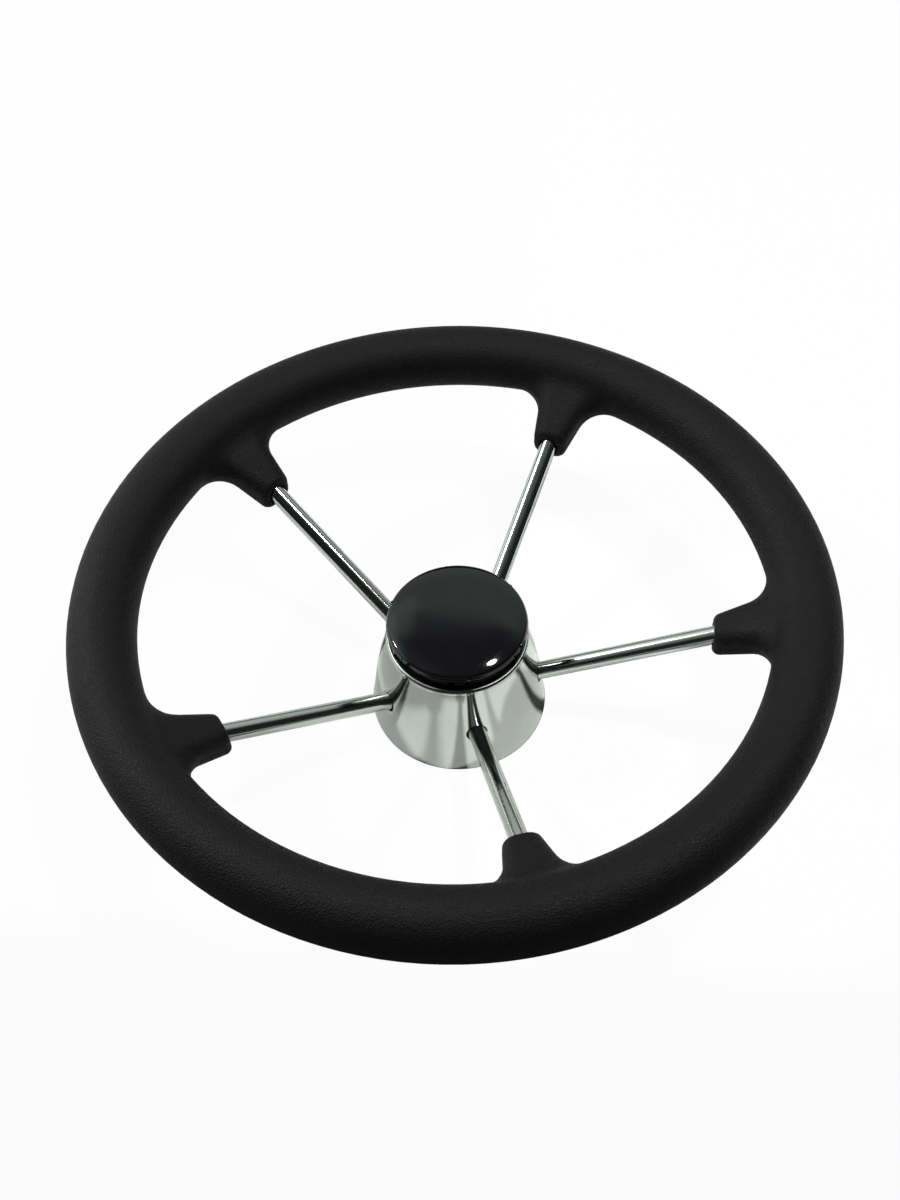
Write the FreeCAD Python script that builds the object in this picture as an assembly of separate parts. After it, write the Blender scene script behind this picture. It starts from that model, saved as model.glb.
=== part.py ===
import FreeCAD, Part
import math
import os
from FreeCAD import Vector

# A five-spoke stainless boat steering wheel with a moulded foam grip.
# It lies on the open base of its hub. +Z is the turning axis and points out of the
# centre cap, the origin is where that axis meets the plane of the hub's base, and
# the first spoke runs along +X. Sizes are in millimetres and degrees.

# rim
rim_outer_diameter = 343.0
grip_diameter = 30.0
rim_height = 80.3  # middle of the grip above the hub's base
ring_bar_diameter = 10.0  # welded ring inside the foam

# spokes
spoke_count = 5
spoke_diameter = 8.5
spoke_root_height = 16.62  # of its axis where it meets the boss
spoke_aim_height = 2.4  # the axis passes this far above the ring's centre circle
spoke_ring_bite = 2.0  # the coped end reaches this far over the ring's inner side

# foam cuffs round the spokes, measured in upright planes across the spoke
cuff_reach = 25.0  # from the grip's inner side to the cuff's end
cuff_end_width = 15.9
cuff_height = 17.8
cuff_flare_angle = 12.5  # each side, seen from above
cuff_corner_radius = 6.5
cuff_blend_radius = 14.0
cuff_end_round = 3.4

# spun hub shell
shell_base_diameter = 85.2
shell_wall = 1.0
shell_shoulder_lean = 2.66  # a line from foot to lip leans this much more than the straight part
shell_straight_height = 18.4
shell_lip_height = 52.3
shell_lip_diameter = 65.7
lip_bead_radius = 1.0  # the rolled edge round the mouth
shell_base_round = 0.45
spoke_hole_clearance = 0.8

# web plate between the boss and the shell
plate_top_height = 40.0
plate_thickness = 3.0

# turned boss with the tapered shaft bore
boss_diameter = 38.0
boss_recess = 8.0  # its back face above the hub's base
boss_spigot_diameter = 30.0
boss_spigot_stand = 1.5  # above the plate, as the nut's seat
boss_chamfer = 1.0
taper_mouth_diameter = 19.05
taper_length_per_mm = 12.0  # the bore narrows by 1 mm in this length
keyway_width = 4.76
keyway_depth = 2.4

# shaft nut
nut_across_flats = 23.8
nut_height = 13.9
nut_bore_diameter = 14.4
nut_chamfer_angle = 30.0

# centre cap
cap_diameter = 65.5
cap_lip_gap = 5.9  # shadow gap between the cap's disc and the rolled lip
cap_side_height = 1.8
cap_edge_inset = 1.35  # the rounded edge runs in by this and up by the next
cap_edge_rise = 2.3
cap_dome_rise = 3.0
cap_top_wall = 2.2
cap_underside_round = 0.5
finger_count = 6
finger_wall = 1.8
finger_clearance = 0.7  # of a finger's shank in the shell's mouth
finger_pad_clearance = 0.08  # of its gripping pad
finger_pad_height = 3.0
finger_pad_lead = 1.2
finger_slot_width = 3.0
finger_slot_top_gap = 2.0  # left uncut below the disc

# what follows from them
grip_radius = grip_diameter / 2
ring_radius = rim_outer_diameter / 2 - grip_radius
ring_bar_radius = ring_bar_diameter / 2
spoke_radius = spoke_diameter / 2
boss_radius = boss_diameter / 2
spoke_pitch = 360.0 / spoke_count
spoke_climb = (rim_height + spoke_aim_height - spoke_root_height) / (ring_radius - boss_radius)
cuff_end_radius = ring_radius - grip_radius - cuff_reach
shell_taper = (shell_base_diameter - shell_lip_diameter) / 2 / shell_lip_height
shell_flare_angle = math.degrees(math.atan(shell_taper)) - shell_shoulder_lean
boss_top_height = plate_top_height + boss_spigot_stand
cap_underside_height = shell_lip_height + lip_bead_radius + cap_lip_gap

ORIGIN = Vector(0, 0, 0)
UP = Vector(0, 0, 1)
COINCIDENT = 1e-3


def turned(shape, angle):
    """A copy of the shape turned about the wheel's axis."""
    copy = shape.copy()
    copy.rotate(ORIGIN, UP, angle)
    return copy


def revolved(edges):
    """The solid that a closed outline in the XZ plane makes round the wheel's axis."""
    face = Part.Face(Part.Wire(Part.__sortEdges__(edges)))
    return face.revolve(ORIGIN, UP, 360)


def line(start, end):
    """A straight edge between two (radius, height) points."""
    return Part.LineSegment(Vector(start[0], 0, start[1]), Vector(end[0], 0, end[1])).toShape()


def arc(start, middle, end):
    """An arc edge through three (radius, height) points."""
    points = [Vector(p[0], 0, p[1]) for p in (start, middle, end)]
    return Part.Arc(*points).toShape()


def outline(points):
    """The straight edges that join (radius, height) points in a closed loop."""
    return [line(a, b) for a, b in zip(points, points[1:] + points[:1])]


# spokes and ring

def spoke_height(radius):
    """Height of a spoke's centre line at a distance from the wheel's axis."""
    return rim_height + spoke_aim_height - (ring_radius - radius) * spoke_climb


def bar_on_spoke_line(bar_radius, inner, outer):
    """A round bar on the first spoke's centre line between two distances from the axis."""
    start = Vector(inner, 0, spoke_height(inner))
    end = Vector(outer, 0, spoke_height(outer))
    return Part.makeCylinder(bar_radius, start.distanceToPoint(end), start, end - start)


def make_rim_ring():
    """The welded ring of round bar that the foam is moulded on."""
    return Part.makeTorus(ring_radius, ring_bar_radius, Vector(0, 0, rim_height), UP)


def make_spoke():
    """The first spoke, coped to the boss at one end and to the ring at the other."""
    inside_boss = boss_radius - spoke_diameter
    over_ring = ring_radius - ring_bar_radius + spoke_ring_bite
    bar = bar_on_spoke_line(spoke_radius, inside_boss, over_ring)
    boss = Part.makeCylinder(boss_radius, rim_height)
    return bar.cut(boss).cut(make_rim_ring())


# foam grip

def cuff_section(radius):
    """The cuff's rounded outline in the upright plane at a distance from the axis."""
    flare = math.tan(math.radians(cuff_flare_angle))
    half_width = cuff_end_width / 2 + (radius - cuff_end_radius) * flare
    half_height = cuff_height / 2
    middle = spoke_height(radius)
    corner = cuff_corner_radius
    bow = corner * (1 - math.sqrt(0.5))
    edges = []
    for side, level in ((1, 1), (-1, 1), (-1, -1), (1, -1)):
        y, z = side * half_width, middle + level * half_height
        upright = Vector(radius, y, z - level * corner)
        flat = Vector(radius, y - side * corner, z)
        bend = Vector(radius, y - side * bow, z - level * bow)
        first, last = (upright, flat) if side == level else (flat, upright)
        edges.append((first, Part.Arc(first, bend, last).toShape(), last))
    joined = []
    for (_, curve, last), (first, _, _) in zip(edges, edges[1:] + edges[:1]):
        joined += [curve, Part.LineSegment(last, first).toShape()]
    return Part.Wire(joined)


def make_cuff():
    """The first spoke's cuff, from its rounded end to the middle of the grip."""
    cuff = Part.makeLoft([cuff_section(cuff_end_radius), cuff_section(ring_radius)], True, True)
    end_edges = [edge for edge in cuff.Edges
                 if all(abs(p.x - cuff_end_radius) < COINCIDENT for p in edge.discretize(3))]
    return cuff.makeFillet(cuff_end_round, end_edges)


def is_cuff_root(edge):
    """Whether an edge is part of the line where the cuff meets the grip's inner side."""
    for point in edge.discretize(5):
        across = math.hypot(point.x, point.y) - ring_radius
        from_ring = math.hypot(across, point.z - rim_height)
        if across > 0 or abs(from_ring - grip_radius) > COINCIDENT:
            return False
    middle = edge.discretize(3)[1]
    return abs(math.degrees(math.atan2(middle.y, middle.x))) < spoke_pitch / 2 - 1


def make_grip_segment():
    """One pitch of the grip with its cuff blended in, centred on the first spoke."""
    circle = Part.makeCircle(grip_radius, Vector(ring_radius, 0, rim_height), Vector(0, 1, 0))
    end_face = turned(Part.Face(Part.Wire(circle)), -spoke_pitch / 2)
    segment = end_face.revolve(ORIGIN, UP, spoke_pitch)
    joined = segment.fuse(make_cuff())
    roots = [edge for edge in joined.Edges if is_cuff_root(edge)]
    return joined.makeFillet(cuff_blend_radius, roots)


def make_foam_grip(spokes):
    """The moulded foam: five equal segments in one piece, cast round the ring and the spokes."""
    segment = make_grip_segment()
    segments = [turned(segment, number * spoke_pitch) for number in range(spoke_count)]
    foam = segments[0].fuse(segments[1:]).removeSplitter()
    return foam.cut([make_rim_ring()] + spokes)


# hub shell

def shell_wall_edges(offset):
    """The wall's straight part and its curved shoulder, moved in from the outer face."""
    lean = math.radians(shell_flare_angle)
    tangent = (math.sin(lean), -math.cos(lean))
    normal = (math.cos(lean), math.sin(lean))
    knee = (shell_base_diameter / 2 - shell_straight_height * math.tan(lean), shell_straight_height)
    lip = (shell_lip_diameter / 2, shell_lip_height)
    chord = (lip[0] - knee[0], lip[1] - knee[1])
    shoulder_radius = (chord[0] ** 2 + chord[1] ** 2) / (-2 * (chord[0] * normal[0] + chord[1] * normal[1]))
    centre = (knee[0] - shoulder_radius * normal[0], knee[1] - shoulder_radius * normal[1])
    sweep = math.atan2(lip[1] - centre[1], lip[0] - centre[0]) - lean
    bend = shoulder_radius - offset

    def on_shoulder(share):
        angle = lean + share * sweep
        return centre[0] + bend * math.cos(angle), centre[1] + bend * math.sin(angle)

    start = on_shoulder(0)
    foot = (start[0] + start[1] * tangent[0] / -tangent[1], 0)
    return [line(foot, start), arc(start, on_shoulder(0.5), on_shoulder(1))], foot, on_shoulder(1)


def inside_of_shell():
    """The solid that fills the shell's inside, from its base to its mouth."""
    edges, foot, mouth = shell_wall_edges(shell_wall)
    return revolved(edges + [line(mouth, (0, mouth[1])), line((0, mouth[1]), (0, 0)), line((0, 0), foot)])


def make_hub_shell():
    """The spun shell: a bell-shaped cone with a rolled lip and a hole for each spoke."""
    outer, outer_foot, outer_mouth = shell_wall_edges(0)
    inner, inner_foot, inner_mouth = shell_wall_edges(shell_wall)
    wall = revolved(outer + inner + [line(outer_foot, inner_foot), line(outer_mouth, inner_mouth)])
    rim = [edge for edge in wall.Edges
           if abs(edge.BoundBox.ZMax) < COINCIDENT
           and edge.BoundBox.XLength > 2 * inner_foot[0] + shell_wall]
    wall = wall.makeFillet(shell_base_round, rim)
    bead = Part.makeTorus(shell_lip_diameter / 2, lip_bead_radius, Vector(0, 0, shell_lip_height), UP)
    outside = shell_base_diameter / 2 + spoke_diameter
    hole = bar_on_spoke_line(spoke_radius + spoke_hole_clearance, boss_radius, outside)
    holes = [turned(hole, number * spoke_pitch) for number in range(spoke_count)]
    return wall.fuse(bead).cut(holes)


# inside the hub

def make_hub_plate():
    """The web plate: it sits over the boss's spigot and closes on the shell's inside."""
    bottom = plate_top_height - plate_thickness
    disc = Part.makeCylinder(shell_base_diameter, plate_thickness, Vector(0, 0, bottom))
    hole = Part.makeCylinder(boss_spigot_diameter / 2, plate_thickness, Vector(0, 0, bottom))
    return disc.common(inside_of_shell()).cut(hole)


def taper_radius(height):
    """Radius of the shaft bore at a height: it narrows from the boss's back face up."""
    return (taper_mouth_diameter - (height - boss_recess) / taper_length_per_mm) / 2


def make_hub_boss():
    """The turned boss: a shoulder and spigot for the plate, a tapered bore and a keyway."""
    shoulder = plate_top_height - plate_thickness
    spigot = boss_spigot_diameter / 2
    body = revolved(outline([
        (0, boss_recess),
        (boss_radius - boss_chamfer, boss_recess),
        (boss_radius, boss_recess + boss_chamfer),
        (boss_radius, shoulder),
        (spigot, shoulder),
        (spigot, boss_top_height),
        (0, boss_top_height)]))
    mouth, end = taper_radius(boss_recess), taper_radius(boss_top_height)
    bore = Part.makeCone(mouth, end, boss_top_height - boss_recess, Vector(0, 0, boss_recess))
    keyway = Part.Face(Part.Wire(outline([
        (0, boss_recess),
        (mouth + keyway_depth, boss_recess),
        (end + keyway_depth, boss_top_height),
        (0, boss_top_height)])))
    keyway.translate(Vector(0, -keyway_width / 2, 0))
    return body.cut([bore, keyway.extrude(Vector(0, keyway_width, 0))])


def make_shaft_nut():
    """The hexagon nut on the boss's seat, chamfered on both faces."""
    corner_radius = nut_across_flats / math.sqrt(3)
    first_corner = Part.Vertex(corner_radius, 0, boss_top_height)
    corners = [turned(first_corner, 60 * number).Point for number in range(6)]
    hexagon = Part.Face(Part.makePolygon(corners + corners[:1])).extrude(UP * nut_height)
    flat_radius = nut_across_flats / 2
    drop = (corner_radius - flat_radius) * math.tan(math.radians(nut_chamfer_angle))
    top = boss_top_height + nut_height
    turned_blank = revolved(outline([
        (0, boss_top_height),
        (flat_radius, boss_top_height),
        (corner_radius, boss_top_height + drop),
        (corner_radius, top - drop),
        (flat_radius, top),
        (0, top)]))
    bore = Part.makeCylinder(nut_bore_diameter / 2, nut_height, Vector(0, 0, boss_top_height))
    return hexagon.common(turned_blank).cut(bore)


# centre cap

def dome_height(radius, rise, edge_radius, edge_height):
    """Height of a shallow round dome at a distance from its middle."""
    ball = (edge_radius ** 2 + rise ** 2) / (2 * rise)
    return edge_height + rise - ball + math.sqrt(ball ** 2 - radius ** 2)


def make_cap_disc():
    """The domed disc with its rounded edge, hollow behind the fingers."""
    side = cap_diameter / 2
    side_top = cap_underside_height + cap_side_height
    crease = (side - cap_edge_inset, side_top + cap_edge_rise)
    edge_radius = (cap_edge_inset ** 2 + cap_edge_rise ** 2) / (2 * cap_edge_inset)
    half_turn = math.asin(cap_edge_rise / edge_radius) / 2
    edge_middle = (side - edge_radius * (1 - math.cos(half_turn)),
                   side_top + edge_radius * math.sin(half_turn))

    def dome(radius):
        return dome_height(radius, cap_dome_rise, crease[0], crease[1])

    hollow = finger_inner_radius()
    ceiling = [(radius, dome(radius) - cap_top_wall) for radius in (hollow, hollow / 2, 0)]
    underside = cap_underside_height
    disc = revolved([
        line((side, underside), (side, side_top)),
        arc((side, side_top), edge_middle, crease),
        arc(crease, (crease[0] / 2, dome(crease[0] / 2)), (0, dome(0))),
        line((0, dome(0)), ceiling[2]),
        arc(*ceiling[::-1]),
        line(ceiling[0], (hollow, underside)),
        line((hollow, underside), (side, underside))])
    rim = [edge for edge in disc.Edges
           if abs(edge.BoundBox.ZMax - underside) < COINCIDENT
           and edge.BoundBox.XLength > 2 * side - COINCIDENT]
    return disc.makeFillet(cap_underside_round, rim)


def mouth_radius():
    """Inner radius of the shell's wall at its mouth, where the cap's fingers grip."""
    return shell_wall_edges(shell_wall)[2][0]


def finger_inner_radius():
    """Inner radius of the ring of fingers."""
    return mouth_radius() - finger_clearance - finger_wall


def make_cap_fingers():
    """The ring of sprung fingers, which stands on the plate and grips in the shell's mouth."""
    foot = plate_top_height
    inner = finger_inner_radius()
    shank = inner + finger_wall
    pad = mouth_radius() - finger_pad_clearance
    pad_top = shell_lip_height
    pad_foot = pad_top - finger_pad_height
    ring = revolved(outline([
        (inner, foot),
        (shank, foot),
        (shank, pad_foot - finger_pad_lead),
        (pad, pad_foot),
        (pad, pad_top),
        (shank, pad_top + finger_pad_lead),
        (shank, cap_underside_height),
        (inner, cap_underside_height)]))
    slot_height = cap_underside_height - finger_slot_top_gap - foot
    slot_corner = Vector(0, -finger_slot_width / 2, foot)
    slot = Part.makeBox(cap_diameter, finger_slot_width, slot_height, slot_corner)
    pitch = 360.0 / finger_count
    return ring.cut([turned(slot, (number + 0.5) * pitch) for number in range(finger_count)])


def make_centre_cap():
    """The push-in cap: a domed disc and its fingers, one moulding."""
    return make_cap_disc().fuse(make_cap_fingers()).removeSplitter()


def main():
    """Build every piece and write one file for each."""
    spoke = make_spoke()
    spokes = [turned(spoke, number * spoke_pitch) for number in range(spoke_count)]
    pieces = {
        "foam_grip": make_foam_grip(spokes),
        "rim_ring": make_rim_ring(),
        "hub_shell": make_hub_shell(),
        "hub_plate": make_hub_plate(),
        "hub_boss": make_hub_boss(),
        "shaft_nut": make_shaft_nut(),
        "centre_cap": make_centre_cap(),
    }
    for number, shape in enumerate(spokes, start=1):
        pieces[f"spoke_{number}"] = shape
    os.makedirs("parts", exist_ok=True)
    for name, shape in pieces.items():
        shape.exportStep(f"parts/{name}.step")
        print(name, "solids", len(shape.Solids), "valid", shape.isValid(), "volume", round(shape.Volume, 1))


main()
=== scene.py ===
"""A five-spoke stainless boat steering wheel, dressed for the studio.

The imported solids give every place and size. The foam grip, the spokes, the hub's spun
shell and the centre cap are built again here as fine meshes with the details that the
solids leave out, and the parts inside the hub keep their solids under turned and welded
steel. Lengths are in metres, +Z is the turning axis and the first spoke runs along +X.
"""

import logging
import math
from collections.abc import Sequence
from dataclasses import dataclass, field
from enum import Enum

import bmesh
import bpy
from mathutils import Matrix, Vector
from mathutils.bvhtree import BVHTree

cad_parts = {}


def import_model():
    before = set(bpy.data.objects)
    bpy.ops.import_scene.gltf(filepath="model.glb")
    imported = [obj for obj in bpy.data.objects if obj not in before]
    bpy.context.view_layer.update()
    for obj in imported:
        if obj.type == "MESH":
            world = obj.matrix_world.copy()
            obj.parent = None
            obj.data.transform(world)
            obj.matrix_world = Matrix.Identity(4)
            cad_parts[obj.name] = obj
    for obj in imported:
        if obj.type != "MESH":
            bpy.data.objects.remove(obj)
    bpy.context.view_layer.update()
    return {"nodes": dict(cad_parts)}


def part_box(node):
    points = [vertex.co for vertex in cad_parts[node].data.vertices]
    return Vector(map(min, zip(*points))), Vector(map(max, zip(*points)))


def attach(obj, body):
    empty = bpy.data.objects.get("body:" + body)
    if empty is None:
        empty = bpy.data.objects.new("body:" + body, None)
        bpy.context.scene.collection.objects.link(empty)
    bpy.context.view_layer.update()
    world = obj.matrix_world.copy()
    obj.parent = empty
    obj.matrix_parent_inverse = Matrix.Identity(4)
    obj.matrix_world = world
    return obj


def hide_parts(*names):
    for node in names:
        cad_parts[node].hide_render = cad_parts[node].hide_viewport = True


LOG = logging.getLogger("wheel")
MM = 0.001
UP = Vector((0.0, 0.0, 1.0))
FULL_TURN = 2 * math.pi
# a step too small to see, kept between one curve's last point and the next curve's first
HAIR = 0.02 * MM
WHITE = (1.0, 1.0, 1.0, 1.0)
# points this close are one point, and edges this short are none
SAME_POINT = 1e-7
NO_LENGTH = 1e-8
# edges that bend by more than this many degrees stay sharp, on a plain mesh and on a weld bead
CREASE = 30.0
BEAD_CREASE = 80.0

Colour = tuple[float, float, float, float]


class Body(Enum):
    """The two bodies that move on their own."""

    WHEEL = "wheel"
    CAP = "cap"


class Slot(Enum):
    """The record's material slots."""

    FOAM = "foam"
    POLISHED = "polished_stainless"
    STAINLESS = "stainless"
    PLASTIC = "black_plastic"


# shader tools


class Value:
    """A node's output that Python's own arithmetic can use."""

    def __init__(self, nodes: "Nodes", socket: bpy.types.NodeSocket) -> None:
        """Keep the socket and the tree it belongs to."""
        self.nodes = nodes
        self.socket = socket

    def maths(self, operation: str, *terms: "Value | float") -> "Value":
        """The result of one Math node, with its inputs in order."""
        return self.nodes.add("ShaderNodeMath", {"operation": operation}, dict(enumerate(terms)))

    def also(self, output: str) -> "Value":
        """Another output of the same node."""
        return Value(self.nodes, self.socket.node.outputs[output])

    def __add__(self, other: "Value | float") -> "Value":
        """The sum."""
        return self.maths("ADD", self, other)

    def __radd__(self, other: float) -> "Value":
        """The sum, with a number first."""
        return self.maths("ADD", other, self)

    def __sub__(self, other: "Value | float") -> "Value":
        """The difference."""
        return self.maths("SUBTRACT", self, other)

    def __rsub__(self, other: float) -> "Value":
        """The difference, with a number first."""
        return self.maths("SUBTRACT", other, self)

    def __mul__(self, other: "Value | float") -> "Value":
        """The product."""
        return self.maths("MULTIPLY", self, other)

    def __rmul__(self, other: float) -> "Value":
        """The product, with a number first."""
        return self.maths("MULTIPLY", other, self)

    def __truediv__(self, other: "Value | float") -> "Value":
        """The quotient."""
        return self.maths("DIVIDE", self, other)

    def between(self, low: float, high: float) -> "Value":
        """How far the value is from low to high, eased at both ends.

        Args:
            low: The value that gives 0.
            high: The value that gives 1.

        Returns:
            A value from 0 to 1.
        """
        settings = {"interpolation_type": "SMOOTHSTEP"}
        feeds = {"Value": self, "From Min": low, "From Max": high}
        return self.nodes.add("ShaderNodeMapRange", settings, feeds)

    def spread(self, low: float, high: float) -> "Value":
        """The value, which runs from 0 to 1, stretched to run from low to high."""
        return self * (high - low) + low


Feed = Value | float | Sequence[float]


class Nodes:
    """A shader tree that is cleared and then filled node by node."""

    def __init__(self, tree: bpy.types.ShaderNodeTree) -> None:
        """Start with an empty tree."""
        self.tree = tree
        tree.nodes.clear()

    def add(self, kind: str, settings: dict | None = None, feeds: dict | None = None,
            output: int | str = 0) -> Value:
        """Add one node.

        Args:
            kind: The node's type.
            settings: Its own settings, and a ramp's stops as (place, colour) pairs.
            feeds: What each input gets, by name or number: a value, a number or a colour.
            output: The output to hand back, by name or number.

        Returns:
            That output.
        """
        node = self.tree.nodes.new(kind)
        for name, setting in (settings or {}).items():
            if name == "stops":
                self._set_stops(node.color_ramp, setting)
            else:
                setattr(node, name, setting)
        for name, feed in (feeds or {}).items():
            if isinstance(feed, Value):
                self.tree.links.new(feed.socket, node.inputs[name])
            else:
                node.inputs[name].default_value = feed
        outputs = node.outputs
        return Value(self, outputs[output]) if len(outputs) else Value(self, None)

    @staticmethod
    def _set_stops(ramp: bpy.types.ColorRamp, stops: Sequence[tuple[float, Sequence[float]]]) -> None:
        """Give a ramp its stops, in order.

        Args:
            ramp: The ramp.
            stops: The place and colour of each stop.
        """
        while len(ramp.elements) < len(stops):
            ramp.elements.new(1.0)
        for element, (place, colour) in zip(ramp.elements, stops):
            element.position = place
            element.color = colour

    def mixed(self, share: Value | float, first: Feed, second: Feed) -> Value:
        """Two colours mixed by a share: 0 gives the first and 1 the second."""
        settings = {"data_type": "RGBA"}
        return self.add("ShaderNodeMix", settings, {"Factor": share, 6: first, 7: second}, 2)

    def place(self) -> Value:
        """The place on the object, in metres, which doesn't change when a body moves."""
        return self.add("ShaderNodeTexCoord", output="Object")

    def unrolled(self) -> Value:
        """The place on the mesh's unrolled surface, in metres."""
        return self.add("ShaderNodeTexCoord", output="UV")

    def vector(self, operation: str, *terms: Feed) -> Value:
        """The vector that one Vector Math node makes of its inputs."""
        return self.add("ShaderNodeVectorMath", {"operation": operation}, dict(enumerate(terms)))

    def stretched(self, vector: Value, scale: Sequence[float]) -> Value:
        """A vector with each part scaled on its own."""
        return self.vector("MULTIPLY", vector, scale)

    def facing(self, way: Value, direction: Sequence[float]) -> Value:
        """How far a way goes along a direction."""
        return self.vector("DOT_PRODUCT", way, direction).also("Value")

    def rays(self) -> tuple[Value, Value]:
        """Whether a ray comes from the camera, and whether it comes by a mirror or through glass."""
        camera = self.add("ShaderNodeLightPath", output="Is Camera Ray")
        return camera, camera.also("Is Glossy Ray") + camera.also("Is Transmission Ray")

    def noise(self, vector: Value, scale: float, detail: float = 2.0, roughness: float = 0.5) -> Value:
        """Soft noise from about 0 to 1, with so many grains in a metre and so many finer layers."""
        feeds = {"Vector": vector, "Scale": scale, "Detail": detail, "Roughness": roughness}
        return self.add("ShaderNodeTexNoise", {}, feeds)

    def parts(self, vector: Value) -> tuple[Value, Value, Value]:
        """The three parts of a vector."""
        first = self.add("ShaderNodeSeparateXYZ", {}, {0: vector})
        return first, first.also("Y"), first.also("Z")

    def from_axis(self, vector: Value) -> Value:
        """Distance from the turning axis."""
        return self.vector("LENGTH", self.stretched(vector, (1.0, 1.0, 0.0))).also("Value")

    def bump(self, height: Value, depth: float, under: Value | None = None) -> Value:
        """A normal that is raised where the height is larger.

        Args:
            height: The height, from 0 to 1.
            depth: What a height of 1 stands for, in metres.
            under: The normal of a finer bump that this one lies over.

        Returns:
            The normal.
        """
        feeds = {"Height": height, "Distance": depth, "Strength": 1.0}
        if under is not None:
            feeds["Normal"] = under
        return self.add("ShaderNodeBump", {}, feeds, "Normal")


# finishes


def new_material(name: str) -> tuple[bpy.types.Material, Nodes]:
    """A material and its empty shader tree.

    Args:
        name: The material's name.

    Returns:
        The material and the tree.
    """
    material = bpy.data.materials.new(name)
    material.use_nodes = True
    return material, Nodes(material.node_tree)


@dataclass(frozen=True)
class Finish:
    """A material with a Principled shader that a kind of finish fills in."""

    name: str

    def material(self) -> bpy.types.Material:
        """Build the material.

        Returns:
            The material, with its shader on the output.
        """
        material, nodes = new_material(self.name)
        surface = nodes.add("ShaderNodeBsdfPrincipled", {}, self.feeds(nodes))
        nodes.add("ShaderNodeOutputMaterial", {}, {"Surface": surface})
        return material

    def feeds(self, nodes: Nodes) -> dict[str, Feed]:
        """What the shader's inputs get."""
        raise NotImplementedError


@dataclass(frozen=True)
class FoamSkin(Finish):
    """The black skin of moulded foam, with a fine leather grain pressed into it."""

    pebble: float = 1.25 * MM
    grain_depth: float = 0.20 * MM
    # painted shade: the grain's creases take this darker tone
    crease_shade_tone: Colour = (0.0023, 0.0024, 0.0025, 1.0)
    crown_tone: Colour = (0.0041, 0.0042, 0.0042, 1.0)

    def feeds(self, nodes: Nodes) -> dict[str, Feed]:
        """Pebbles between fine creases, a little glossier on their crowns, with painted shade in the creases.

        Args:
            nodes: The material's tree.

        Returns:
            What the shader's inputs get.
        """
        place = nodes.place()
        drift = nodes.noise(place, 0.35 / self.pebble, 2.0).also("Color")
        bent = nodes.vector("ADD", place, nodes.stretched(drift, (0.9 * self.pebble,) * 3))
        feeds = {"Vector": bent, "Scale": 1.0 / self.pebble, "Randomness": 1.0}
        crease = nodes.add("ShaderNodeTexVoronoi", {"feature": "DISTANCE_TO_EDGE"}, feeds, "Distance")
        crown = crease.between(0.0, 0.32)
        wrinkle = nodes.noise(bent, 0.9 / self.pebble, 3.0, 0.6)
        height = crown * 0.65 + wrinkle * 0.75
        patch = nodes.noise(place, 90.0, 3.0, 0.6)
        worn = nodes.noise(place, 22.0, 2.0).between(0.42, 0.7)
        # painted shade darkens the creases between pebbles; the noise patches are the skin's own uneven tone
        tone = crown * 0.5 + patch * 0.5
        return {
            "Base Color": nodes.mixed(tone, self.crease_shade_tone, self.crown_tone),
            "Roughness": 0.60 - crown * 0.10 - worn * 0.05 + patch * 0.08,
            "Specular IOR Level": 0.15,
            "Normal": nodes.bump(height, self.grain_depth),
        }


@dataclass(frozen=True)
class PolishedSteel(Finish):
    """Mirror-polished stainless steel with faint polishing lines.

    The unrolled surface runs round the piece in its first part and along it in its second.
    """

    line_length: float = 60.0 * MM
    line_pitch: float = 0.35 * MM
    line_depth: float = 0.0009 * MM
    roughness: float = 0.055
    ripple: float = 0.02 * MM
    clean_tone: Colour = (0.60, 0.625, 0.60, 1.0)
    smear_tone: Colour = (0.56, 0.585, 0.56, 1.0)

    def feeds(self, nodes: Nodes) -> dict[str, Feed]:
        """A clean mirror with faint lines, soft ripples and a few duller smears.

        Args:
            nodes: The material's tree.

        Returns:
            What the shader's inputs get.
        """
        place = nodes.place()
        scale = (1.0 / self.line_length, 1.0 / self.line_pitch, 1.0)
        lines = nodes.noise(nodes.stretched(nodes.unrolled(), scale), 1.0, 3.0, 0.7)
        smear = nodes.noise(place, 55.0, 3.0, 0.6).between(0.45, 0.75)
        ripple = nodes.noise(place, 75.0, 1.0)
        return {
            "Base Color": nodes.mixed(smear, self.clean_tone, self.smear_tone),
            "Metallic": 1.0,
            "Roughness": self.roughness + lines * 0.03 + smear * 0.035,
            "Normal": nodes.bump(ripple, self.ripple, nodes.bump(lines, self.line_depth)),
        }


@dataclass(frozen=True)
class SpunInside(Finish):
    """The shell's inside, left dull from the spinning tool."""

    groove: float = 0.5 * MM
    dull_tone: Colour = (0.40, 0.40, 0.39, 1.0)
    clear_tone: Colour = (0.50, 0.50, 0.485, 1.0)
    # a darker, browner tone that grows in patches from 10 to 40 mm up the inside
    upper_dark_tone: Colour = (0.30, 0.27, 0.235, 1.0)
    upper_dark_rise: tuple[float, float] = (10.0 * MM, 40.0 * MM)

    def feeds(self, nodes: Nodes) -> dict[str, Feed]:
        """Fine rings up the wall, a patchy dullness, and darker, browner patches towards the top of the
        inside.

        Args:
            nodes: The material's tree.

        Returns:
            What the shader's inputs get.
        """
        place = nodes.place()
        _, _, height = nodes.parts(place)
        patch = nodes.noise(place, 60.0, 4.0, 0.6)
        rings = nodes.noise(nodes.stretched(place, (8.0, 8.0, 1.0 / self.groove)), 1.0, 2.0, 0.6)
        dark_patches = nodes.noise(place, 35.0, 3.0).between(0.4, 0.75)
        deep = height.between(*self.upper_dark_rise)
        tone = nodes.mixed(patch, self.dull_tone, self.clear_tone)
        return {
            "Base Color": nodes.mixed(dark_patches * deep, tone, self.upper_dark_tone),
            "Metallic": 1.0,
            "Roughness": rings * 0.14 + patch * 0.12 + 0.24,
            "Normal": nodes.bump(rings, 0.02 * MM),
        }


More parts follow.
